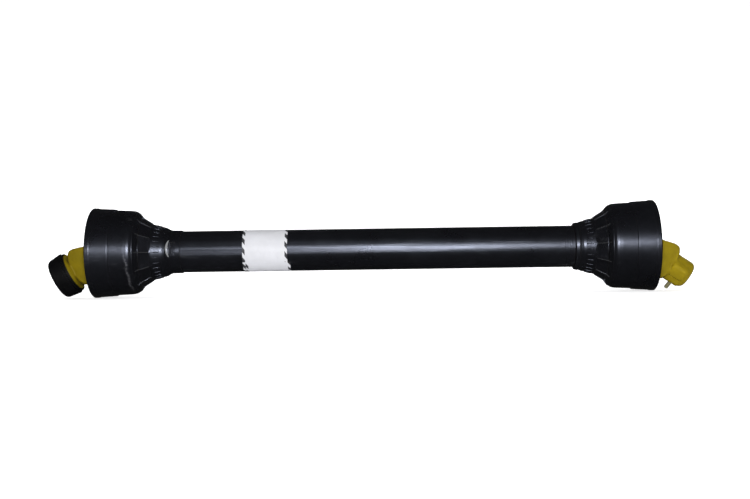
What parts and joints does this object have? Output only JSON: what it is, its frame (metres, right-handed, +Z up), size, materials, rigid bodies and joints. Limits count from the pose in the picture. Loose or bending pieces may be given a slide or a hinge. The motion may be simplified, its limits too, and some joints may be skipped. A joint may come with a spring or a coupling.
{
  "type": "pto drive shaft",
  "caption": "Telescoping cardan drive shaft in a dark plastic guard, with a flared bell, a cross joint and a splined yoke at each end, one with a pull collar and one with a push pin.",
  "frame": {"origin": "on the floor under the middle of the whole, as it lies on the rims of its two bells", "axes": "+X along the shaft from the collar end to the push-pin end, +Z up, -Y towards the picture's camera"},
  "size_m": [1.2166, 0.1694, 0.1694],
  "materials": {
    "guard_plastic": "satin moulded",
    "bearing_nylon": "satin",
    "label_film": "satin film",
    "yoke_paint": "semi-gloss over forged steel",
    "collar_plastic": "satin",
    "tube_steel": "drawn, oiled",
    "bearing_steel": "ground",
    "spring_steel": "blackened",
    "pin_steel": "yellow zinc",
    "seal_rubber": "matte",
    "nipple_brass": "machined"
  },
  "bodies": {
    "outer_shaft": {"outer_profile_tube": "tube_steel", "left_tube_yoke": "yoke_paint", "left_roll_pin": "spring_steel", "left_cup_top": "bearing_steel", "left_cup_bottom": "bearing_steel", "left_seal_top": "seal_rubber", "left_seal_bottom": "seal_rubber", "left_snap_ring_top": "spring_steel", "left_snap_ring_bottom": "spring_steel"},
    "left_guard": {"left_bell": "guard_plastic", "outer_guard_tube": "guard_plastic", "left_guard_bearing": "bearing_nylon", "tube_label": "label_film"},
    "left_spider": {"left_cross": "bearing_steel", "left_grease_nipple": "nipple_brass"},
    "collar_fork": {"collar_yoke": "yoke_paint", "collar_spring": "spring_steel", "collar_retaining_ring": "spring_steel", "lock_ball_1": "bearing_steel", "lock_ball_2": "bearing_steel", "lock_ball_3": "bearing_steel", "left_cup_front": "bearing_steel", "left_cup_rear": "bearing_steel", "left_seal_front": "seal_rubber", "left_seal_rear": "seal_rubber", "left_snap_ring_front": "spring_steel", "left_snap_ring_rear": "spring_steel"},
    "release_collar": {"pull_collar": "collar_plastic"},
    "inner_shaft": {"inner_profile_tube": "tube_steel", "right_tube_yoke": "yoke_paint", "right_roll_pin": "spring_steel", "right_cup_top": "bearing_steel", "right_cup_bottom": "bearing_steel", "right_seal_top": "seal_rubber", "right_seal_bottom": "seal_rubber", "right_snap_ring_top": "spring_steel", "right_snap_ring_bottom": "spring_steel"},
    "right_guard": {"right_bell": "guard_plastic", "inner_guard_tube": "guard_plastic", "right_guard_bearing": "bearing_nylon"},
    "right_spider": {"right_cross": "bearing_steel", "right_grease_nipple": "nipple_brass"},
    "pin_fork": {"pin_yoke": "yoke_paint", "pin_plug": "spring_steel", "pin_spring": "spring_steel", "right_cup_front": "bearing_steel", "right_cup_rear": "bearing_steel", "right_seal_front": "seal_rubber", "right_seal_rear": "seal_rubber", "right_snap_ring_front": "spring_steel", "right_snap_ring_rear": "spring_steel"},
    "lock_pin": {"push_pin": "pin_steel"}
  },
  "joints": [
    {"name": "left_guard_spin", "type": "hinge", "parent": "outer_shaft", "child": "left_guard", "pos_m": [-0.49377, 0, 0.08468], "axis": [1, 0, 0], "continuous": true},
    {"name": "telescope", "type": "slide", "parent": "outer_shaft", "child": "inner_shaft", "axis": [1, 0, 0], "range_m": [0, 0.35]},
    {"name": "right_guard_spin", "type": "hinge", "parent": "inner_shaft", "child": "right_guard", "pos_m": [0.50623, 0, 0.08468], "axis": [1, 0, 0], "continuous": true},
    {"name": "left_inner_pivot", "type": "hinge", "parent": "outer_shaft", "child": "left_spider", "pos_m": [-0.49377, 0, 0.08468], "axis": [0, 0, 1], "range_deg": [-30, 30]},
    {"name": "left_outer_pivot", "type": "hinge", "parent": "left_spider", "child": "collar_fork", "pos_m": [-0.49377, 0, 0.08468], "axis": [0, -1, 0], "range_deg": [-62.5, 7.5]},
    {"name": "collar_pull", "type": "slide", "parent": "collar_fork", "child": "release_collar", "axis": [0.887, 0, 0.4617], "range_m": [0, 0.008], "stiffness_N_per_m": 1500, "springref_m": -0.01, "deforming": ["collar_spring"]},
    {"name": "right_inner_pivot", "type": "hinge", "parent": "inner_shaft", "child": "right_spider", "pos_m": [0.50623, 0, 0.08468], "axis": [0, 0, 1], "range_deg": [-30, 30]},
    {"name": "right_outer_pivot", "type": "hinge", "parent": "right_spider", "child": "pin_fork", "pos_m": [0.50623, 0, 0.08468], "axis": [0, 1, 0], "range_deg": [-68.4, 1.6]},
    {"name": "pin_press", "type": "slide", "parent": "pin_fork", "child": "lock_pin", "axis": [0.4509, -0.5736, 0.6839], "range_m": [0, 0.006], "stiffness_N_per_m": 800, "springref_m": -0.01, "deforming": ["pin_spring"]}
  ]
}
